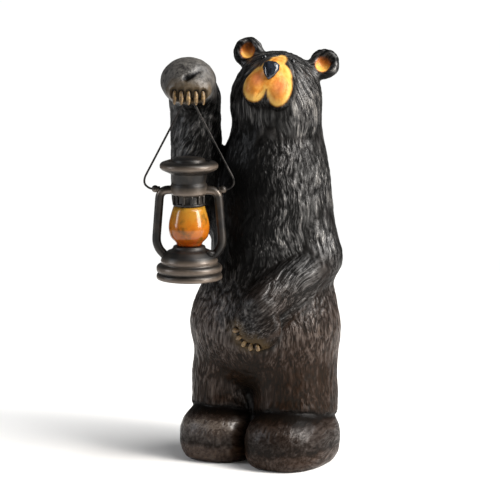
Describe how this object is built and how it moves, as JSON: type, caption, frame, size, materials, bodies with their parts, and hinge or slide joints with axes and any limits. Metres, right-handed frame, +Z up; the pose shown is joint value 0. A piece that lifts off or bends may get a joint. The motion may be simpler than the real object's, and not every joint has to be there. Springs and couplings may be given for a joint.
{
  "type": "bear figurine with lantern",
  "caption": "Upright cast figurine of a black bear that holds up a small tubular lantern by its wire bail, one paw on its belly.",
  "frame": {"origin": "on the flat underside, below the middle of the hips", "axes": "+Z up; the bear faces -Y; its left side is +X; the raised paw and the lantern are on the -X side"},
  "size_m": [0.125, 0.1391, 0.3051],
  "materials": {
    "bear": "satin painted resin, near black with grey-brown fur tips, amber muzzle, ears and claws",
    "lantern_casting": "satin dark bronze, worn lighter on the rings",
    "lantern_globe": "gloss amber resin",
    "lantern_bail": "dark wire"
  },
  "bodies": {
    "root": {"bear": "bear", "lantern_casting": "lantern_casting", "lantern_globe": "lantern_globe", "lantern_bail": "lantern_bail"}
  },
  "joints": []
}
